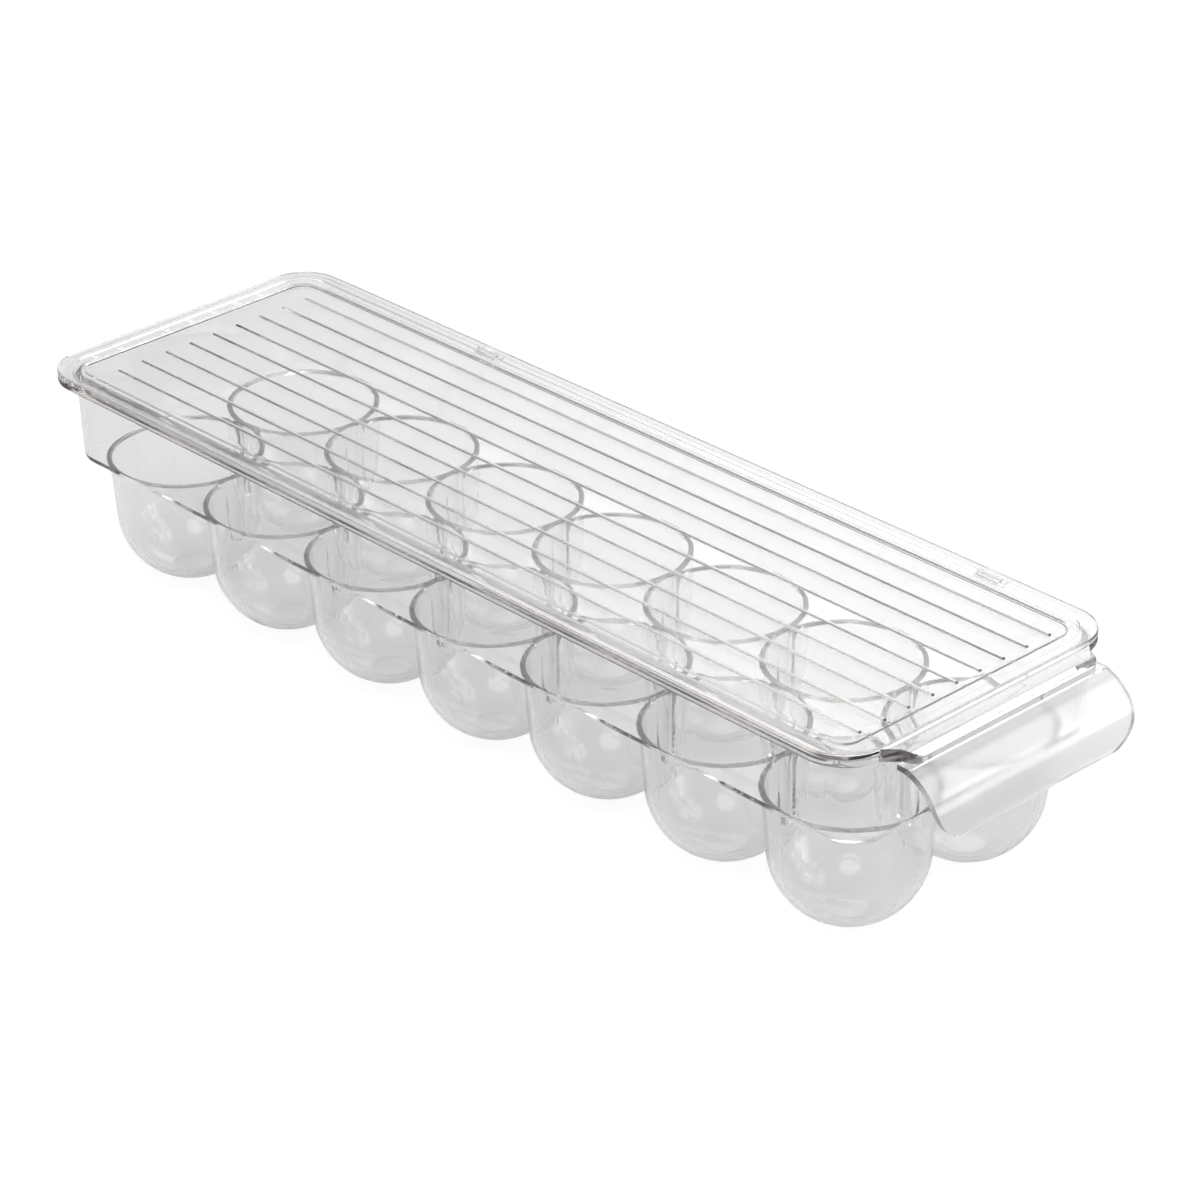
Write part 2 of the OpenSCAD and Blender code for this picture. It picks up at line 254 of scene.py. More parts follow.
@dataclass(frozen=True)
class Sizes:
    """The part's own sizes in millimetres, and the places that follow from them.

    They are the CAD source's sizes, apart from lip_r, which is smaller here so that the cups' lips
    read as thin lines through the lid. Angles are in radians, apart from clip_end, in degrees.
    """

    pitch: float = 48.0
    per_row: int = 7
    bowl_gap: float = 1.5
    cup_depth: float = 39.8
    cup_wall: float = 1.7
    taper: float = math.radians(4.0)
    foot_r: float = 6.7
    web_w: float = 7.4
    web_z: float = 20.0
    deck_t: float = 1.8
    lip_r: float = 0.6
    wall_h: float = 27.0
    wall_t: float = 1.8
    wall_draft: float = math.radians(2.12)
    wall_corner_r: float = 11.0
    wall_room: float = 0.77
    rear_room: float = 1.7
    flare_r: float = 1.5
    rim_reach: float = 4.7
    rim_front_reach: float = 0.8
    rim_t: float = 1.65
    rim_corner_r: float = 14.0
    bead_r: float = 1.2
    bead_proud: float = 0.15
    hinge_gap: float = 0.3
    clip_t: float = 1.15
    clip_l: float = 9.0
    clip_end: float = 295.0
    front_hinge_in: float = 46.0
    rear_hinge_in: float = 90.7
    lid_t: float = 1.8
    border_w: float = 5.2
    ledge_w: float = 3.3
    lid_step: float = 0.5
    ribs: int = 9
    rib_h: float = 0.6
    rib_side_in: float = 16.8
    rib_front_in: float = 10.6
    rib_back_in: float = 18.9
    shelf_reach: float = 8.9
    shelf_half_l: float = 42.0
    shelf_slant: float = 4.0
    shelf_corner_r: float = 5.0
    shelf_edge_t: float = 1.8
    shelf_flat: float = 4.9
    handle_half_w: float = 40.0
    handle_r: float = 16.0
    handle_arc_h: float = 15.3
    handle_skirt: float = 3.9
    handle_t: float = 2.0
    handle_corner_r: float = 12.0
    handle_in: float = 4.5

    @property
    def cup_r(self) -> float:
        """Outer radius of a cup's ball."""
        return (self.pitch - self.bowl_gap) / 2

    @property
    def ball_z(self) -> float:
        """Height of the balls' centres."""
        return math.sqrt(self.cup_r**2 - self.foot_r**2)

    @property
    def half_l(self) -> float:
        """Distance of the end cups from the middle of their row."""
        return (self.per_row - 1) / 2 * self.pitch

    def cone_top(self, ball_r: float) -> float:
        """Radius, at the deck's underside, of the cone that touches a ball of this radius."""
        touch_z = self.ball_z - ball_r * math.sin(self.taper)
        return ball_r * math.cos(self.taper) + (self.cup_depth - touch_z) * math.tan(self.taper)

    @property
    def deck_top(self) -> float:
        """Height of the deck's upper face."""
        return self.cup_depth + self.deck_t

    @property
    def reach(self) -> float:
        """Distance from an end cup's centre to the wall's outer face at its foot."""
        return self.cone_top(self.cup_r) + self.wall_room

    @property
    def wall_x(self) -> float:
        """Half width over the wall at its foot."""
        return self.pitch / 2 + self.reach

    @property
    def wall_front(self) -> float:
        """The wall's front face at its foot."""
        return -self.half_l - self.reach

    @property
    def wall_back(self) -> float:
        """The wall's back face at its foot."""
        return self.half_l + self.reach + self.rear_room

    @property
    def lean(self) -> float:
        """How far the wall leans out over its height."""
        return self.wall_h * math.tan(self.wall_draft)

    @property
    def rim_z(self) -> float:
        """Height of the rim's underside."""
        return self.cup_depth + self.wall_h

    @property
    def rim_top(self) -> float:
        """Height of the rim's upper face."""
        return self.rim_z + self.rim_t

    @property
    def rim_x(self) -> float:
        """Half width over the rim and the lid."""
        return self.wall_x + self.lean + self.rim_reach

    @property
    def rim_front(self) -> float:
        """Front edge of the rim and the lid."""
        return self.wall_front - self.lean - self.rim_front_reach

    @property
    def rim_back(self) -> float:
        """Back edge of the rim and the lid."""
        return self.wall_back + self.lean + self.rim_reach

    @property
    def hinge_x(self) -> float:
        """The hinge axis, across."""
        return self.rim_x - self.bead_r

    @property
    def hinge_z(self) -> float:
        """Height of the hinge axis."""
        return self.rim_top + self.bead_proud - self.bead_r

    @property
    def hinge_ys(self) -> tuple[float, float]:
        """Middles of the two hinges."""
        return self.rim_front + self.front_hinge_in, self.rim_back - self.rear_hinge_in

    @property
    def clip_in_r(self) -> float:
        """Inner radius of the hinge clips."""
        return self.bead_r + self.hinge_gap

    @property
    def slot_r(self) -> float:
        """Radius of the slots that the clips turn in."""
        return self.clip_in_r + self.clip_t + self.hinge_gap

    @property
    def lid_z(self) -> float:
        """Height of the lid's border underside."""
        return self.hinge_z + self.clip_in_r

    @property
    def lid_top(self) -> float:
        """Height of the lid's border."""
        return self.lid_z + self.lid_t

    @property
    def shelf_front(self) -> float:
        """Front edge of the shelf."""
        return self.rim_front - self.shelf_reach

    @property
    def handle_y(self) -> float:
        """Middle of the handle's curve."""
        return self.shelf_front + math.sqrt(self.handle_r**2 - self.handle_arc_h**2)

    @property
    def shift_y(self) -> float:
        """Move from the middle of the cups to the middle of the whole outline."""
        return -(self.rim_back + self.handle_y - self.handle_r) / 2


# The tray ----------------------------------------------------------------------------------------

@dataclass
class Tray:
    """The tray's shell: fourteen cups in a deck, with a leaning wall and a beaded rim.

    The mesh lines of a cup are rays at ray_degrees from its axes. Names with room keep the outlines' points
    off their round corners, steps count the steps of a round, and shares are shares of a length.
    """

    sizes: Sizes
    ray_degrees: tuple[float, ...] = (
        3.0, 6.0, 8.69, 8.83, 11.5, 15.0, 19.0, 23.0, 27.0, 31.0, 35.5, 40.0, 45.0)
    corner_steps: int = 12
    mark_room: float = 1.0
    front_mark_room: float = 0.2
    wall_mark_room: float = 0.1
    touch: float = 1e-5
    fillet_start: float = -50.0
    fillet_steps: int = 4
    edge_round: float = 0.4
    edge_steps: int = 3
    mark_gap: float = 0.02
    thirds: tuple[float, float] = (1 / 3, 2 / 3)
    lip_steps: int = 6
    ball_steps: int = 11
    foot_edge: float = 0.02
    flat_shares: tuple[float, ...] = (0.97, 0.5, 0.0)
    web_shares: tuple[float, ...] = (0.0, 0.3, 0.6, 0.9)
    level_shares: tuple[float, float] = (0.2, 0.6)
    level_in: float = 0.4
    least_steep: float = 0.2
    flare_share: float = 0.95
    wall_rings: tuple[float, float] = (1.0, 8.0)
    flare_degrees: tuple[float, float] = (172.0, 90.0)
    flare_steps: int = 5
    bead_steps: int = 9

    def __post_init__(self) -> None:
        """Lays out the marks along the cups' cells and the two outlines that the wall follows."""
        s = self.sizes
        half = s.pitch / 2 * np.tan(np.radians(self.ray_degrees))
        self.marks = np.concatenate([-half[::-1], [0.0], half])
        self.columns = np.array([-s.pitch / 2, s.pitch / 2])
        self.rows = np.linspace(-s.half_l, s.half_l, s.per_row)
        past_rim, past_wall = s.rim_corner_r + self.mark_room, s.wall_corner_r + self.wall_mark_room
        side = min(s.rim_x - past_rim, s.wall_x - past_wall)
        front = max(s.rim_front + s.rim_corner_r + self.front_mark_room, s.wall_front + past_wall)
        back = min(s.rim_back - past_rim, s.wall_back - past_wall)
        marks = self._spread(self.columns, -side, side), self._spread(self.rows, front, back)
        angles = [np.linspace(a, a + 90.0, self.corner_steps + 1) for a in QUARTERS]
        self.wall = RoundLoop.make(s.wall_x, s.wall_front, s.wall_back, s.wall_corner_r, *marks, angles)
        self.rim = RoundLoop.make(s.rim_x, s.rim_front, s.rim_back, s.rim_corner_r, *marks, angles)
        straight = np.abs(self.rim.centres[:, 0]) < s.rim_x - s.rim_corner_r - self.touch
        self.on_front = straight & (self.rim.outward[:, 1] < self.touch - 1.0)

    def _spread(self, middles: np.ndarray, low: float, high: float) -> np.ndarray:
        """The cells' marks round each middle, without repeats, between low and high."""
        every = np.unique(np.round((middles[:, None] + self.marks[None, :]).ravel(), 6))
        return every[(every > low) & (every < high)]

    def cell_loop(self, column: int, row: int, edge: np.ndarray) -> tuple[np.ndarray, np.ndarray]:
        """The outline of one cup's share of the deck, counter-clockwise from above.

        Args:
            column: 0 or 1.
            row: 0 at the front.
            edge: The outline round the whole deck that the outer cells end at.

        Returns:
            Its points measured from the cup's middle, and the index of each on the outline, or -1.
        """
        s = self.sizes
        cx, cy = self.columns[column], self.rows[row]
        foot = self.wall.at(0.0)
        low = -np.inf if row == 0 else cy - s.pitch / 2
        high = np.inf if row == s.per_row - 1 else cy + s.pitch / 2
        inside = foot[:, 0] * np.sign(cx) > -self.touch
        inside &= (foot[:, 1] > low - self.touch) & (foot[:, 1] < high + self.touch)
        first = int(np.flatnonzero(inside & ~np.roll(inside, 1))[0])
        rim = (first + np.arange(int(inside.sum()))) % len(foot)
        outer = edge[rim]
        turns = [(0.0, y) for y in (low, high) if np.isfinite(y)]
        if column == 1:
            turns.reverse()
        path = [outer[-1], *[np.array(t) for t in turns], outer[0]]
        inner = []
        for a, b in zip(path[:-1], path[1:]):
            axis = 0 if abs(b[0] - a[0]) > abs(b[1] - a[1]) else 1
            marks = (cx if axis == 0 else cy) + self.marks
            low, high = sorted((a[axis], b[axis]))
            marks = marks[(marks > low + self.mark_gap) & (marks < high - self.mark_gap)]
            if b[axis] < a[axis]:
                marks = marks[::-1]
            line = np.tile(a, (len(marks), 1))
            line[:, axis] = marks
            inner += [line, b[None, :]]
        inner = np.concatenate(inner)[:-1]
        points = np.concatenate([outer, inner]) - (cx, cy)
        return points, np.concatenate([rim, np.full(len(inner), -1)])

    def top_height(self, r: np.ndarray) -> np.ndarray:
        """Height of the deck and its rounded lip, at distance r from a cup's middle, outside the hollow."""
        s = self.sizes
        lip = s.cone_top(s.cup_r - s.cup_wall) + s.lip_r
        drop = s.lip_r - np.sqrt(np.maximum(s.lip_r**2 - np.minimum(r - lip, 0.0)**2, 0.0))
        return s.deck_top - drop

    def bowl(self, r: float, first: float, foot: float, rays: int) -> tuple[np.ndarray, np.ndarray]:
        """A ball and the flat that ends it below.

        Args:
            r: The ball's radius.
            first: Where the ball starts, as an angle from level in radians.
            foot: How far below level, in radians, the flat starts.
            rays: Number of rays.

        Returns:
            Radius and height for each row and ray.
        """
        down = np.append(np.linspace(first, self.foot_edge - foot, self.ball_steps), -foot)
        flat = np.array(self.flat_shares) * r * math.cos(foot)
        radius = np.concatenate([r * np.cos(down), flat])
        height = self.sizes.ball_z + r * np.sin(down)
        height = np.concatenate([height, np.full_like(flat, height[-1])])
        return np.tile(radius[:, None], rays), np.tile(height[:, None], rays)

    def cup_inside(self, loop: np.ndarray) -> np.ndarray:
        """Deck, lip and hollow of one cup: along each ray a level, an arc, a cone, a ball and a flat floor.

        Args:
            loop: The cell's outline, measured from the cup's middle.

        Returns:
            A grid of radius and height for each row and ray.
        """
        s = self.sizes
        ball = s.cup_r - s.cup_wall
        top = s.cone_top(ball)
        lip, lip_z = top + s.lip_r, s.deck_top - s.lip_r
        reach = np.hypot(loop[:, 0], loop[:, 1])
        start = np.minimum(reach, lip)
        ones = np.ones_like(start)
        level = blend(reach, start, [0.0, 0.5])
        turn = blend(np.arccos(np.clip((start - lip) / s.lip_r, -1, 1)), np.pi * ones,
                     np.linspace(0, 1, self.lip_steps + 1))
        touch_r, touch_z = ball * math.cos(s.taper), s.ball_z - ball * math.sin(s.taper)
        cone_r = blend(top * ones, touch_r * ones, self.thirds)
        cone_z = blend(lip_z * ones, touch_z * ones, self.thirds)
        ball_r, ball_z = self.bowl(ball, -s.taper, math.asin((s.ball_z - s.cup_wall) / ball), len(loop))
        radius = np.concatenate([level, lip + s.lip_r * np.cos(turn), cone_r, ball_r])
        height = np.concatenate([self.top_height(level), lip_z + s.lip_r * np.sin(turn), cone_z, ball_z])
        return np.stack([radius, height], axis=-1)

    def cup_outside(self, loop: np.ndarray, rim: np.ndarray) -> np.ndarray:
        """Deck underside and outside of one cup: a level, a cone, a ball and a flat foot along each ray.

        Where two cups meet, the cone ends half way between them, and the web between them starts level.

        Args:
            loop: The cell's outline, measured from the cup's middle.
            rim: The index of each point on the wall's outline, or -1.

        Returns:
            A grid of radius and height for each row and ray.
        """
        s = self.sizes
        top, slope = s.cone_top(s.cup_r), math.tan(s.taper)
        reach = np.hypot(loop[:, 0], loop[:, 1])
        facing = np.where(rim[:, None] >= 0, self.wall.outward[rim], 0.0)
        steep = np.sum(facing * loop, axis=1) / reach
        inset = s.wall_t * (1 - math.cos(math.radians(self.fillet_start)))

        def under(r: np.ndarray) -> np.ndarray:
            """Height of the deck's underside, which turns up into the wall near its foot."""
            depth = np.where(rim >= 0, inset + (reach - r) * steep, s.wall_t)
            rise = s.wall_t - np.sqrt(np.maximum(s.wall_t**2 - np.maximum(s.wall_t - depth, 0.0)**2, 0.0))
            return s.cup_depth + rise

        meet = np.full_like(reach, top)
        for _ in range(4):
            meet = top + (under(meet) - s.cup_depth) * slope
        meet = np.minimum(meet, reach)
        steep_safe = np.maximum(steep, self.least_steep)
        mid, end = (np.where(rim >= 0, reach - depth / steep_safe, reach - share * (reach - meet))
                    for depth, share in zip((self.level_in, s.wall_t - inset), self.level_shares))
        level = np.stack([reach, np.maximum(mid, meet), np.maximum(end, meet)])
        level_z = np.stack([under(r) for r in level])
        cut = meet < top - self.touch
        cone_top_z = np.where(cut, s.cup_depth + (meet - top) / slope, under(meet))
        level_z = np.where(cut[None, :], cone_top_z[None, :], level_z)
        touch_r, touch_z = s.cup_r * math.cos(s.taper), s.ball_z - s.cup_r * math.sin(s.taper)
        web_r = math.sqrt(s.cup_r**2 - (s.ball_z - s.web_z)**2)
        ones = np.ones_like(reach)
        shares = (0.0, *self.thirds, 1.0)
        cone_r, cone_z = blend(meet, touch_r * ones, shares), blend(cone_top_z, touch_z * ones, shares)
        along = np.minimum(np.abs(loop[:, 0]), np.abs(loop[:, 1]))
        web = ((rim < 0) & (along < s.web_w / 2) & (reach < s.pitch / 2 + s.web_w / 2))[None, :]
        level, level_z = np.where(web, reach[None, :], level), np.where(web, s.web_z, level_z)
        cone_r = np.where(web, blend(reach, web_r * ones, self.web_shares), cone_r)
        cone_z = np.where(web, s.web_z, cone_z)
        web_turn = math.asin((s.web_z - s.ball_z) / s.cup_r)
        ball_r, ball_z = self.bowl(s.cup_r, web_turn, math.acos(s.foot_r / s.cup_r), len(loop))
        radius, height = np.concatenate([level, cone_r, ball_r]), np.concatenate([level_z, cone_z, ball_z])
        return np.stack([radius, height], axis=-1)

    def wall_rows(self) -> list[np.ndarray]:
        """The wall and the rim as rows of points round the tray, from the deck's underside to its top.

        The section is a quarter round at the foot, a leaning line, a flare, the rim's underside, the round
        bead, the rim's top, a small round at the opening and the inner face down to the deck.

        Returns:
            One array of points for each row of the section.
        """
        s = self.sizes
        wall, rim = self.wall, self.rim
        lean = math.tan(s.wall_draft)
        top = wall.at(s.lean)
        reach = np.sum((rim.at(0.0) - top) * wall.outward, axis=1)
        flare = np.minimum(s.flare_r, self.flare_share * reach)
        rows = []
        for offset, z in arc(-s.wall_t, s.deck_top, s.wall_t, self.fillet_start, 0.0, self.fillet_steps):
            rows.append(stack(wall.at(offset), z))
        near, far = (s.deck_top + ring for ring in self.wall_rings)
        for z in (near, far, s.rim_z - s.flare_r - self.wall_rings[0]):
            rows.append(stack(wall.at(lean * (z - s.cup_depth)), z))
        for turn in np.radians(np.linspace(*self.flare_degrees, self.flare_steps + 1)):
            out, drop = flare * (1 + math.cos(turn)), flare * (1 - math.sin(turn))
            rows.append(stack(wall.at(s.lean + out), s.rim_z - drop))
        bead_low = math.sqrt(s.bead_r**2 - (s.hinge_z - s.rim_z)**2)
        inner = np.clip(reach - flare, s.bead_r - bead_low, s.bead_r + bead_low)
        rows.append(stack(rim.at(-inner), s.rim_z))
        start = -math.degrees(math.asin((s.hinge_z - s.rim_z) / s.bead_r))
        end = 180.0 - math.degrees(math.asin((s.rim_top - s.hinge_z) / s.bead_r))
        bead = arc(-s.bead_r, s.hinge_z, s.bead_r, start, end, self.bead_steps)
        flat_z = np.linspace(s.rim_z, s.rim_top, len(bead))
        for (offset, z), plain in zip(bead, flat_z):
            offset, z = np.where(self.on_front, 0.0, offset), np.where(self.on_front, plain, z)
            rows.append(stack(rim.at(offset), z))
        opening, e = s.lean - s.wall_t, self.edge_round
        for offset, z in arc(opening + e, s.rim_top - e, e, 90.0, 180.0, self.edge_steps):
            rows.append(stack(wall.at(offset), z))
        for z in (s.rim_z, far, near):
            rows.append(stack(wall.at(lean * (z - s.cup_depth) - s.wall_t), z))
        return rows

    def build_shell(self) -> bpy.types.Object:
        """Makes the closed surface of cups, deck, wall and rim."""
        s = self.sizes
        shell = Moulding("tray")
        rows = self.wall_rows()
        under_edge = rows[0]
        over_edge = self.wall.at(-s.wall_t)
        over_z = np.full(len(over_edge), s.deck_top)
        for column, cx in enumerate(self.columns):
            for row, cy in enumerate(self.rows):
                for inside in (True, False):
                    loop, rim = self.cell_loop(column, row, over_edge if inside else under_edge[:, :2])
                    grid = self.cup_inside(loop) if inside else self.cup_outside(loop, rim)
                    ray = loop / np.hypot(loop[:, 0], loop[:, 1])[:, None]
                    points = stack(grid[..., :1] * ray[None, :, :] + (cx, cy), grid[..., 1])
                    shell.sheet(points, round_columns=True, flip=inside)
                    outer, edge_z = rim[rim >= 0], grid[0, rim >= 0, 1]
                    if inside:
                        over_z[outer] = np.minimum(over_z[outer], edge_z)
                    else:
                        under_edge[outer, 2] = edge_z
        rows.append(stack(over_edge, over_z))
        shell.sheet(np.stack(rows), round_columns=True)
        return shell.build(s.shift_y)


@dataclass
class ThickSheet:
    """A curved plate seen from the side: an outer and an inner line of points, each with a half width."""

    name: str
    outer: np.ndarray
    inner: np.ndarray
    spread: int = 28

    def build(self, shift_y: float) -> bpy.types.Object:
        """Carries both lines across: x is the half width times a share from -1 to 1.

        Args:
            shift_y: Move along Y, in millimetres.

        Returns:
            The closed solid.
        """
        shares = np.sin(np.linspace(-np.pi / 2, np.pi / 2, self.spread + 1))
        grids = []
        for line in (self.outer, self.inner):
            x = line[:, None, 2] * shares[None, :]
            y, z = np.broadcast_to(line[:, None, 0], x.shape), np.broadcast_to(line[:, None, 1], x.shape)
            grids.append(np.stack([x, y, z], axis=-1))
        solid = Moulding(self.name)
        solid.plate(*grids)
        return solid.build(shift_y)


@dataclass
class Front:
    """The shelf that stands in front of the lid, and the pull handle that hangs from it.

    The overlap and the bites are how far one solid reaches into the next before they are joined.
    """

    sizes: Sizes
    overlap: float = 0.5
    shelf_bite: float = 0.2
    handle_bite: float = 0.3
    edge_marks: tuple[float, ...] = (0.0, 0.12, 0.4, 0.85, 1.5, 2.4, 3.6)
    root_marks: tuple[float, ...] = (0.0, 0.6, 1.6)
    arc_steps: int = 14
    skirt_steps: int = 3
    round_steps: int = 4
    handle_spread: int = 36

    def shelf_half(self, y: np.ndarray) -> np.ndarray:
        """Half width of the shelf at y: a slanted end that turns into a round front corner."""
        s = self.sizes
        lead, r = s.shelf_half_l - s.shelf_slant, s.shelf_corner_r
        slant = lead + s.shelf_slant * np.clip((y - s.shelf_front - r) / (s.shelf_reach - r), 0.0, 1.0)
        drop = np.clip(s.shelf_front + r - y, 0.0, r)
        return slant - r + np.sqrt(r**2 - drop**2)

    def build_shelf(self) -> bpy.types.Object:
        """Makes the shelf: a flat that curves down like a quarter of an ellipse."""
        s = self.sizes
        back, root = s.rim_front - s.hinge_gap, s.shelf_front + s.handle_in
        drop = s.lid_top - s.rim_z - s.shelf_edge_t
        run = back - s.shelf_flat - s.shelf_front
        marks = s.shelf_front + np.array(self.edge_marks), root + np.array(self.root_marks), [back]
        y = np.unique(np.concatenate(marks))
        high = s.lid_top - drop * (1 - np.sqrt(1 - (np.clip(back - s.shelf_flat - y, 0.0, run) / run)**2))
        low = np.full_like(y, s.rim_z)
        ends, lines = [back, s.rim_front + self.overlap], []
        for z, edge_z, bite in ((high, s.rim_top, -self.shelf_bite), (low, s.rim_z, self.shelf_bite)):
            tail = np.column_stack([ends, [edge_z, edge_z + bite], [s.shelf_half_l] * 2])
            lines.append(np.concatenate([np.column_stack([y, z, self.shelf_half(y)]), tail]))
        return ThickSheet("shelf", *lines).build(s.shift_y)

    def build_handle(self) -> bpy.types.Object:
        """Makes the handle: a hood on two arcs, with a straight skirt and round lower corners."""
        s = self.sizes
        z0, r, edge = s.rim_z - s.handle_arc_h, s.handle_corner_r, s.handle_t / 2
        tip, middle = z0 - s.handle_skirt, s.handle_y - s.handle_r + edge
        root, inner_r = s.shelf_front + s.handle_in, s.handle_r - s.handle_t
        start = 180.0 - math.degrees(math.asin(s.handle_arc_h / s.handle_r))
        inner_start = 180.0 - math.degrees(math.acos((s.handle_y - root) / inner_r))
        skirt = np.linspace(z0, tip + edge, self.skirt_steps + 1)[1:]
        round_out = arc(middle, tip + edge, edge, 180.0, 270.0, self.round_steps)[1:]
        round_in = round_out * (-1, 1) + (2 * middle, 0.0)
        lines = []
        for top_y, face_r, first, last in (
                (s.shelf_front, s.handle_r, start, round_out), (root, inner_r, inner_start, round_in)):
            face = arc(s.handle_y, z0, face_r, first, 180.0, self.arc_steps)
            side = np.column_stack([np.full_like(skirt, face[-1, 0]), skirt])
            line = np.concatenate([[[top_y, s.rim_z + self.handle_bite]], face, side, last])
            low = np.clip(tip + r - line[:, 1], 0.0, r)
            half = s.handle_half_w - r + np.sqrt(np.maximum(r**2 - low**2, 0.0))
            lines.append(np.column_stack([line, half]))
        return ThickSheet("handle", *lines, spread=self.handle_spread).build(s.shift_y)


@dataclass
class Hinge:
    """The two hinges: bars that bridge slots in the rim, and clips that hang from the lid."""

    sizes: Sizes
    sides: int = 40
    clip_steps: int = 18
    clip_root: float = 0.6
    bar_share: float = 0.992
    bar_bite: float = 0.5

    def slots(self) -> list[bpy.types.Object]:
        """The two cutters that open the rim for the clips."""
        return [self.rod("slot", y, self.sizes.slot_r, self.slot_l) for y in self.sizes.hinge_ys]

    def bars(self) -> list[bpy.types.Object]:
        """The two bars across the slots, a little thinner than the rim's edge and let into it."""
        r, length = self.bar_share * self.sizes.bead_r, self.slot_l + 2 * self.bar_bite
        return [self.rod("bar", y, r, length) for y in self.sizes.hinge_ys]

    @property
    def slot_l(self) -> float:
        """Length of a slot: the clip's and some room at both ends."""
        return self.sizes.clip_l + 2 * self.sizes.hinge_gap

    def rod(self, name: str, y: float, r: float, length: float) -> bpy.types.Object:
        """A round rod on the hinge axis: a circle carried along Y and closed at both ends.

        Args:
            name: Name of the object.
            y: Middle of the rod.
            r: Radius.
            length: Length.

        Returns:
            The closed solid.
        """
        s = self.sizes
        circle = arc(0.0, 0.0, 1.0, 0.0, 360.0, self.sides)[:-1]
        radii = np.array([0.0, r, r, 0.0])
        ys = y + np.array([-0.5, -0.5, 0.5, 0.5]) * length
        x = s.hinge_x + radii[:, None] * circle[None, :, 0]
        z = s.hinge_z + radii[:, None] * circle[None, :, 1]
        rod = Moulding(name)
        rod.sheet(np.stack([x, np.broadcast_to(ys[:, None], x.shape), z], axis=-1), round_columns=True)
        return rod.build(s.shift_y)

    def build_clip(self, y: float) -> bpy.types.Object:
        """A clip: two arcs round the hinge axis, joined at the hook's end and carried along Y.

        Args:
            y: Middle of the clip.

        Returns:
            The closed solid, whose root reaches up into the lid.
        """
        s = self.sizes
        outer_r = s.clip_in_r + s.clip_t
        start = 180.0 - math.degrees(math.asin(s.clip_in_r / outer_r))
        root = s.clip_in_r + self.clip_root
        outer = arc(0.0, 0.0, outer_r, start, s.clip_end, self.clip_steps)
        inner = arc(0.0, 0.0, s.clip_in_r, 90.0, s.clip_end, self.clip_steps)
        outer = np.concatenate([[[outer[0, 0], root]], outer])
        inner = np.concatenate([[[0.0, root]], inner])
        ys = y + np.array([-0.5, 0.5]) * s.clip_l
        sheets = []
        for line in (outer, inner):
            x, z = s.hinge_x + line[:, :1] + 0 * ys, s.hinge_z + line[:, 1:] + 0 * ys
            sheets.append(np.stack([x, np.broadcast_to(ys, x.shape), z], axis=-1))
        solid = Moulding("clip")
        solid.plate(*sheets)
        return solid.build(s.shift_y)


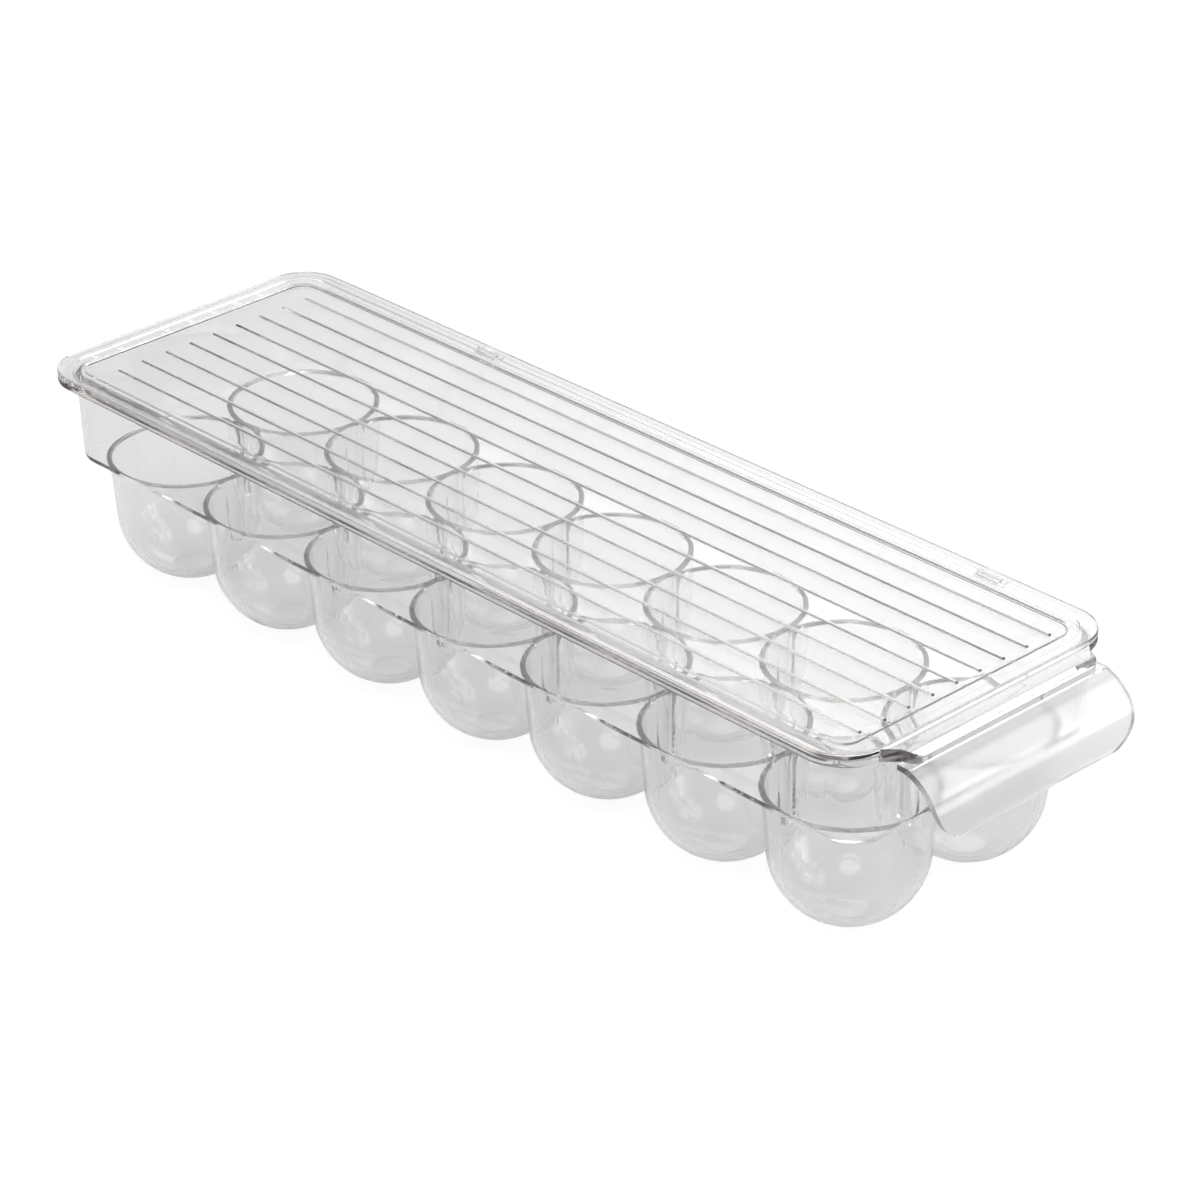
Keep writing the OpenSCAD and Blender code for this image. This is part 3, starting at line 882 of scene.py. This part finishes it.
@dataclass
class Lid:
    """The lid: a plate with a raised border, a ledge and a ribbed panel that drops into the tray.

    half_way and third_way say how far the middle and the thirds of a quarter round are from its two faces,
    as shares of its radius. A rib's profile is given by half widths and end distances with their shares.
    """

    sizes: Sizes
    panel_in: float = 10.35
    edge_r: float = 0.45
    step_r: float = 0.25
    under_r: float = 0.2
    low_r: float = 0.3
    under_in: float = 0.5
    half_way: float = 0.3
    third_way: tuple[float, float] = (0.13, 0.5)
    rib_half: tuple[float, ...] = (0.64, 0.56, 0.5, 0.36, 0.18)
    rib_share: tuple[float, ...] = (0.0, 0.22, 0.62, 0.93, 0.99)
    rib_end: tuple[float, ...] = (0.0, 0.06, 0.16, 0.32, 0.55)
    rib_end_share: tuple[float, ...] = (0.0, 0.35, 0.72, 0.94, 1.0)
    rib_end_mark: float = 1.2
    front_room: float = 1.5
    middle_room: float = 3.0
    middle_lines: int = 14
    back_room: float = 2.0
    corner_x: int = 5
    corner_y: int = 7

    def __post_init__(self) -> None:
        """Lays out the panel's grid lines and the outline that every ring follows."""
        s = self.sizes
        self.rib_x = np.linspace(s.rib_side_in - s.rim_x, s.rim_x - s.rib_side_in, s.ribs)
        half = np.array(self.rib_half)
        across = np.concatenate([-half, [0.0], half[::-1]])
        between = (self.rib_x[:-1] + self.rib_x[1:]) / 2
        straight_x = np.sort(np.concatenate([(self.rib_x[:, None] + across).ravel(), between]))
        r, edge = s.rim_corner_r, self.panel_in
        zone_x = np.linspace(s.rim_x - edge, s.rim_x - r, self.corner_x + 2)[1:-1][::-1]
        self.x = np.concatenate([[-s.rim_x + edge], -zone_x[::-1], straight_x, zone_x, [s.rim_x - edge]])
        self.rib_front, self.rib_back = s.rim_front + s.rib_front_in, s.rim_back - s.rib_back_in
        tip = np.array([*self.rib_end, self.rib_end_mark])
        back_zone = s.rim_back - np.linspace(edge, r, self.corner_y)[1:-1][::-1]
        middle_end = self.rib_back - self.rib_end_mark - self.middle_room
        middle = np.linspace(s.rim_front + r + self.front_room, middle_end, self.middle_lines)
        self.y = np.concatenate([
            [s.rim_front + edge], self.rib_front + tip, middle, self.rib_back - tip[::-1],
            [self.rib_back + self.back_room], back_zone, [s.rim_back - edge]])
        self.front_in_corner, self.back_in_corner = len(tip), len(back_zone)
        nx = self.corner_x + 1
        front, back, side = (
            np.linspace(0.0, 45.0, lines + 2)[1:] for lines in (len(tip), len(back_zone), self.corner_x))
        turns = ((side, front), (back, side), (side, back), (front, side))
        corners = [np.concatenate([start + first, start + 90.0 - last[-2::-1]])
                   for start, (first, last) in zip(QUARTERS, turns)]
        marks_y = self.y[1 + self.front_in_corner:len(self.y) - 1 - self.back_in_corner]
        self.loop = RoundLoop.make(s.rim_x, s.rim_front, s.rim_back, r, self.x[nx:-nx], marks_y, corners)

    def grid_edge(self) -> np.ndarray:
        """Indices of the panel grid's outer points, in the order of the outline."""
        index = np.arange(len(self.x) * len(self.y)).reshape(len(self.y), len(self.x))
        edge = np.concatenate([index[0, :-1], index[:-1, -1], index[-1, :0:-1], index[:0:-1, 0]])
        return np.roll(edge, -(self.corner_x + 1))

    def panel(self, z: float, ribbed: bool) -> np.ndarray:
        """The panel's grid: each rib is a rounded ridge across times a rounded end along.

        Args:
            z: Height of the panel.
            ribbed: True for the top.

        Returns:
            Points with the shape lines along, lines across, 3.
        """
        s = self.sizes
        x, y = np.meshgrid(self.x, self.y)
        height = np.full_like(x, z)
        if ribbed:
            away = np.min(np.abs(self.x[:, None] - self.rib_x[None, :]), axis=1)
            profile = np.interp(away, (0.0, *self.rib_half[::-1]), (1.0, *self.rib_share[::-1]), right=0.0)
            inside = np.minimum(self.y - self.rib_front, self.rib_back - self.y)
            ends = np.interp(inside, self.rib_end, self.rib_end_share)
            height = z + s.rib_h * ends[:, None] * profile[None, :]
        return np.stack([x, y, height], axis=-1)

    def step_down(self, inset: float, high: float, low: float, r: float) -> list[tuple[float, float]]:
        """A step between two levels, with a round edge above and a round corner below.

        Args:
            inset: How far in from the lid's edge the step is.
            high: The upper level.
            low: The lower level.
            r: Radius of both rounds.

        Returns:
            Pairs of inset and height.
        """
        h = self.half_way * r
        return [(inset - r, high), (inset - h, high - h), (inset, high - r),
                (inset, low + r), (inset + h, low + h), (inset + r, low)]

    def build(self) -> bpy.types.Object:
        """Makes the lid: rings from the panel's underside round the edge to its ribbed top."""
        s = self.sizes
        ledge_in = s.border_w + s.ledge_w
        ledge_top = s.lid_top - s.lid_step
        panel_top = ledge_top - s.lid_step
        panel_z = s.lid_z - 2 * s.lid_step
        e, h = self.edge_r, self.half_way * self.low_r
        near, far = (share * e for share in self.third_way)
        under = [(ledge_in + self.under_in, panel_z),
                 *reversed(self.step_down(ledge_in, s.lid_z, panel_z, self.under_r))]
        side = [(self.low_r, s.lid_z), (h, s.lid_z + h), (0.0, s.lid_z + self.low_r), (0.0, s.lid_top - e),
                (near, s.lid_top - far), (far, s.lid_top - near), (e, s.lid_top)]
        over = [*self.step_down(s.border_w, s.lid_top, ledge_top, self.step_r),
                *self.step_down(ledge_in, ledge_top, panel_top, self.step_r)]
        rings = [stack(self.loop.at(-inset), z) for inset, z in under + side + over]
        edge = self.grid_edge()
        top, bottom = self.panel(panel_top, True), self.panel(panel_z, False)
        rings = [bottom.reshape(-1, 3)[edge], *rings, top.reshape(-1, 3)[edge]]
        shell = Moulding("lid")
        shell.sheet(np.stack(rings), round_columns=True)
        shell.sheet(top)
        shell.sheet(bottom, flip=True)
        return shell.build(s.shift_y)


# Finishes ----------------------------------------------------------------------------------------

@dataclass
class Board:
    """A node tree, and a short way to add nodes to it with their inputs filled."""

    tree: bpy.types.NodeTree

    def add(self, kind: str, inputs: dict | None = None, **options: object) -> bpy.types.NodeOutputs:
        """Adds a node, sets its options, and then fills its inputs.

        Args:
            kind: The node's type.
            inputs: A value, or the output to link, for each input by its name or number.
            options: The node's own settings by name.

        Returns:
            The node's outputs.
        """
        node = self.tree.nodes.new(kind)
        for name, value in options.items():
            setattr(node, name, value)
        for name, value in (inputs or {}).items():
            if isinstance(value, bpy.types.NodeSocket):
                self.tree.links.new(value, node.inputs[name])
            else:
                node.inputs[name].default_value = value
        return node.outputs

    def calc(self, operation: str, *terms: float | bpy.types.NodeSocket) -> bpy.types.NodeSocket:
        """The result of a Math node on the terms."""
        return self.add("ShaderNodeMath", dict(enumerate(terms)), operation=operation)["Value"]

    def mix(self, share: bpy.types.NodeSocket, first: bpy.types.NodeSocket,
            second: bpy.types.NodeSocket) -> bpy.types.NodeSocket:
        """The first shader where share is 0, and the second where it is 1."""
        return self.add("ShaderNodeMixShader", {"Fac": share, 1: first, 2: second})["Shader"]


def new_material(name: str) -> tuple[bpy.types.Material, Board]:
    """An empty node material, and the board for its tree."""
    made = bpy.data.materials.new(name)
    made.use_nodes = True
    made.node_tree.nodes.clear()
    return made, Board(made.node_tree)


def moulded_surface() -> bpy.types.ShaderNodeTree:
    """The group for moulded plastic: slow waves from the mould, fine haze and a few hairline scratches.

    Satin is added to the roughness of everything whose own Y, in metres, is below Satin Before.

    Returns:
        The node group, with inputs for strengths, and outputs for roughness and height.
    """
    group = bpy.data.node_groups.new("moulded_surface", "ShaderNodeTree")
    for name in ("Waves", "Haze", "Base Roughness", "Satin", "Satin Before"):
        group.interface.new_socket(name, in_out="INPUT", socket_type="NodeSocketFloat")
    for name in ("Roughness", "Height"):
        group.interface.new_socket(name, in_out="OUTPUT", socket_type="NodeSocketFloat")
    board = Board(group)
    entry = board.add("NodeGroupInput")
    place = board.add("ShaderNodeTexCoord")["Object"]
    slow, fine = (board.add("ShaderNodeTexNoise", {"Vector": place, "Scale": scale, "Detail": detail})["Fac"]
                  for scale, detail in ((38.0, 1.5), (260.0, 4.0)))
    stretch = board.add("ShaderNodeMapping", {
        "Vector": place, "Scale": (6.0, 0.5, 6.0), "Rotation": (0.2, 0.1, 0.5)})["Vector"]
    scratch = board.add("ShaderNodeTexNoise", {"Vector": stretch, "Scale": 320.0, "Detail": 2.0})["Fac"]
    thin = board.add("ShaderNodeMapRange", {"Value": scratch, "From Min": 0.66, "From Max": 0.74})["Result"]
    haze = board.calc("MULTIPLY", fine, entry["Haze"])
    worn = board.calc("MULTIPLY_ADD", thin, 0.06, haze)
    rough = board.calc("MULTIPLY_ADD", worn, 0.04, entry["Base Roughness"])
    y = board.add("ShaderNodeSeparateXYZ", {"Vector": place})["Y"]
    before = board.calc("LESS_THAN", y, entry["Satin Before"])
    satin = board.calc("MULTIPLY_ADD", before, entry["Satin"], rough)
    wave = board.calc("MULTIPLY", slow, entry["Waves"])
    board.add("NodeGroupOutput", {"Roughness": satin, "Height": wave})
    return group


@dataclass(frozen=True)
class ClearPlastic:
    """Clear injection-moulded plastic: a see-through shell with a very slight cool grey.

    Light is taken up with depth only for a ray's first guided_bounces bounces, so that light guided
    along an edge goes grey and not black.
    """

    name: str
    tint: tuple[float, float, float] = (0.985, 0.987, 0.987)
    depth_tint: tuple[float, float, float] = (0.80, 0.79, 0.785)
    depth_density: float = 120.0
    ior: float = 1.5
    roughness: float = 0.01
    haze: float = 0.6
    waves: float = 1.0
    bump: float = 0.05
    bump_depth: float = 0.002
    shadow_tint: tuple[float, float, float] = (0.93, 0.93, 0.94)
    satin: float = 0.0
    satin_before: float = -1.0
    guided_bounces: float = 13.0

    def make(self, surface: bpy.types.ShaderNodeTree) -> bpy.types.Material:
        """Builds the material.

        Args:
            surface: The moulded surface group.

        Returns:
            The material.
        """
        made, board = new_material(self.name)
        detail = board.add("ShaderNodeGroup", {
            "Waves": self.waves, "Haze": self.haze, "Base Roughness": self.roughness,
            "Satin": self.satin, "Satin Before": self.satin_before}, node_tree=surface)
        bump = board.add("ShaderNodeBump", {
            "Strength": self.bump, "Distance": self.bump_depth, "Height": detail["Height"]})
        glass = board.add("ShaderNodeBsdfPrincipled", {
            "Base Color": (*self.tint, 1.0), "Transmission Weight": 1.0, "IOR": self.ior,
            "Roughness": detail["Roughness"], "Normal": bump["Normal"]})
        clear = board.add("ShaderNodeBsdfTransparent", {"Color": (*self.shadow_tint, 1.0)})
        path = board.add("ShaderNodeLightPath")
        shell = board.mix(path["Is Shadow Ray"], glass["BSDF"], clear["BSDF"])
        guided = board.calc("LESS_THAN", path["Ray Depth"], self.guided_bounces)
        density = board.calc("MULTIPLY", guided, self.depth_density)
        depth = board.add("ShaderNodeVolumeAbsorption", {
            "Color": (*self.depth_tint, 1.0), "Density": density})
        board.add("ShaderNodeOutputMaterial", {"Surface": shell, "Volume": depth["Volume"]})
        return made


# Studio ------------------------------------------------------------------------------------------

@dataclass(frozen=True)
class SoftBox:
    """A bright patch of the surroundings: where it is, how wide in degrees, and how bright."""

    azimuth: float
    elevation: float
    inner: float
    outer: float
    strength: float

    @property
    def aim(self) -> tuple[float, float, float]:
        """The direction from the object to the patch's middle."""
        az, el = math.radians(self.azimuth), math.radians(self.elevation)
        return math.cos(az) * math.cos(el), math.sin(az) * math.cos(el), math.sin(el)


@dataclass(frozen=True)
class Lamp:
    """A square soft light: its place and side in metres, and its power in watts."""

    name: str
    place: tuple[float, float, float]
    side: float
    power: float


@dataclass
class Studio:
    """A pale floor, soft lights, a pale background and the camera at the photograph's place.

    Camera and floor are in millimetres. room_levels are brightness from the horizon up to the zenith.
    """

    target: tuple[float, float, float] = (9.52, -2.29, 34.01)
    place: tuple[float, float, float] = (-776.04, -834.80, 651.26)
    roll: float = -0.67
    lens: float = 130.64
    floor_half: float = 4000.0
    floor_drop: float = 0.05
    floor_glow: float = 0.80
    floor_through: float = 0.13
    floor_colour: float = 0.24
    floor_through_colour: float = 0.70
    fill_level: float = 0.6
    room_levels: tuple[tuple[float, float], ...] = (
        (0.0, 0.85), (0.3, 0.75), (0.5, 0.5), (0.8, 0.45), (1.0, 0.45))
    soft_boxes: tuple[SoftBox, ...] = (
        SoftBox(25.0, 32.0, 12.0, 28.0, 1.7), SoftBox(-140.0, 60.0, 12.0, 18.0, 2.2),
        SoftBox(150.0, 35.0, 10.0, 16.0, 0.8), SoftBox(-38.0, 38.0, 14.0, 26.0, 2.6),
        SoftBox(-51.0, 6.0, 13.0, 24.0, 2.9))
    lamps: tuple[Lamp, ...] = (
        Lamp("key", (-0.6, -0.3, 1.5), 0.9, 14.0), Lamp("fill", (1.3, -1.1, 0.9), 0.7, 6.0))
    lamp_aim: tuple[float, float, float] = (0.0, 0.0, 0.03)

    def build_camera(self) -> None:
        """Places the camera: its back axis runs from the target to its place, and it rolls a little."""
        place, target = Vector(self.place) * MM, Vector(self.target) * MM
        back = (place - target).normalized()
        right = Vector((0.0, 0.0, 1.0)).cross(back).normalized()
        up = back.cross(right)
        roll = math.radians(self.roll)
        turned_right = right * math.cos(roll) + up * math.sin(roll)
        turned_up = -right * math.sin(roll) + up * math.cos(roll)
        data = bpy.data.cameras.new("camera")
        data.lens, data.sensor_width, data.sensor_fit = self.lens, 36.0, "HORIZONTAL"
        data.clip_start, data.clip_end = 0.01, 50.0
        camera = bpy.data.objects.new("camera", data)
        camera.matrix_world = Matrix((
            (turned_right.x, turned_up.x, back.x, place.x),
            (turned_right.y, turned_up.y, back.y, place.y),
            (turned_right.z, turned_up.z, back.z, place.z),
            (0.0, 0.0, 0.0, 1.0)))
        bpy.context.scene.collection.objects.link(camera)
        bpy.context.scene.camera = camera

    def build_floor(self) -> None:
        """Makes the floor, which keeps soft shadows and reads pale to the camera and through the plastic."""
        floor = Moulding("floor")
        x, y = np.meshgrid(*[np.linspace(-self.floor_half, self.floor_half, 3)] * 2)
        floor.sheet(np.stack([x, y, np.full_like(x, -self.floor_drop)], axis=-1))
        made = floor.build()
        if made.data.polygons[0].normal.z < 0:
            made.data.flip_normals()
        material, board = new_material("pale_floor")
        path = board.add("ShaderNodeLightPath")
        shade = board.add("ShaderNodeMapRange", {
            "Value": path["Is Camera Ray"], "To Min": self.floor_through_colour,
            "To Max": self.floor_colour})
        matt = board.add("ShaderNodeBsdfDiffuse", {"Color": shade["Result"]})
        through = board.calc("MAXIMUM", path["Is Glossy Ray"], path["Is Transmission Ray"])
        softer = board.calc("MULTIPLY", through, self.floor_through)
        strength = board.calc("MULTIPLY_ADD", path["Is Camera Ray"], self.floor_glow, softer)
        glow = board.add("ShaderNodeEmission", {"Strength": strength})
        both = board.add("ShaderNodeAddShader", {0: matt["BSDF"], 1: glow["Emission"]})
        board.add("ShaderNodeOutputMaterial", {"Surface": both["Shader"]})
        made.data.materials.append(material)

    def build_world(self) -> None:
        """Makes the surroundings: pale to the camera, and to the plastic a dim room with soft boxes in it."""
        world = bpy.data.worlds.new("surroundings")
        bpy.context.scene.world = world
        world.use_nodes = True
        world.node_tree.nodes.clear()
        board = Board(world.node_tree)
        facing = board.add("ShaderNodeTexCoord")["Generated"]
        height = board.add("ShaderNodeSeparateXYZ", {"Vector": facing})["Z"]
        level = board.add("ShaderNodeValToRGB", {"Fac": height})["Color"]
        marks = level.node.color_ramp.elements
        for position, value in self.room_levels:
            mark = marks[0 if position == 0.0 else -1] if position in (0.0, 1.0) else marks.new(position)
            mark.color = (value, value, value, 1.0)
        for box in self.soft_boxes:
            cosine = board.add("ShaderNodeVectorMath", {0: facing, 1: box.aim},
                               operation="DOT_PRODUCT")["Value"]
            patch = board.add("ShaderNodeMapRange", {
                "Value": cosine, "From Min": math.cos(math.radians(box.outer)),
                "From Max": math.cos(math.radians(box.inner)), "To Max": box.strength},
                interpolation_type="SMOOTHSTEP")["Result"]
            level = board.add("ShaderNodeMix", {"Factor": 1.0, 6: level, 7: patch},
                              data_type="RGBA", blend_type="ADD")[2]
        room, even, pale = (board.add("ShaderNodeBackground", inputs)["Background"]
                            for inputs in ({"Color": level}, {"Strength": self.fill_level}, {}))
        path = board.add("ShaderNodeLightPath")
        lit = board.mix(path["Is Diffuse Ray"], room, even)
        board.add("ShaderNodeOutputWorld", {"Surface": board.mix(path["Is Camera Ray"], lit, pale)})

    def build_lamp(self, lamp: Lamp) -> None:
        """Adds a lamp that faces the object and isn't seen in it."""
        data = bpy.data.lights.new(lamp.name, "AREA")
        data.shape, data.size, data.energy = "SQUARE", lamp.side, lamp.power
        light = bpy.data.objects.new(lamp.name, data)
        light.location = lamp.place
        light.visible_glossy = light.visible_transmission = False
        light.rotation_mode = "QUATERNION"
        light.rotation_quaternion = (Vector(lamp.place) - Vector(self.lamp_aim)).to_track_quat("Z", "Y")
        bpy.context.scene.collection.objects.link(light)

    def build(self) -> None:
        """Builds the floor, the surroundings, the lamps and the camera, and sets how light is traced."""
        self.build_floor()
        self.build_world()
        for lamp in self.lamps:
            self.build_lamp(lamp)
        self.build_camera()
        scene = bpy.context.scene
        scene.view_settings.view_transform = "Standard"
        tracing = scene.cycles
        tracing.max_bounces = tracing.transmission_bounces = 48
        tracing.transparent_max_bounces, tracing.glossy_bounces, tracing.diffuse_bounces = 24, 40, 2


# Assembly ----------------------------------------------------------------------------------------

def main() -> None:
    """Builds the tray, the lid and the studio, and reports each piece."""
    logging.basicConfig(level=logging.INFO, format="%(name)s: %(message)s")
    sizes = Sizes()
    surface = moulded_surface()
    hinge, front = Hinge(sizes), Front(sizes)

    tray = Tray(sizes).build_shell()
    combine(tray, hinge.slots(), Join.CUT)
    combine(tray, hinge.bars(), Join.ADD)
    combine(tray, [front.build_shelf(), front.build_handle()], Join.ADD)
    lid = Lid(sizes).build()
    combine(lid, [hinge.build_clip(y) for y in sizes.hinge_ys], Join.ADD)

    handle_from = (sizes.shelf_front + sizes.shift_y) * MM
    tray_plastic = ClearPlastic("tray_plastic", satin=0.12, satin_before=handle_from)
    lid_plastic = ClearPlastic("lid_plastic", haze=0.8)
    for piece, body, finish in ((tray, "tray", tray_plastic), (lid, "lid", lid_plastic)):
        piece.data.materials.clear()
        piece.data.materials.append(finish.make(surface))
        finish_normals(piece)
        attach(piece, body)
        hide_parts(*frame["record"]["behaviour"]["bodies"][body])
        LOG.info("%s: %d faces, rides on %s", piece.name, len(piece.data.polygons), body)
    tray.name, lid.name = "tray_moulding", "lid_moulding"
    Studio().build()


if __name__ == "__main__":
    main()
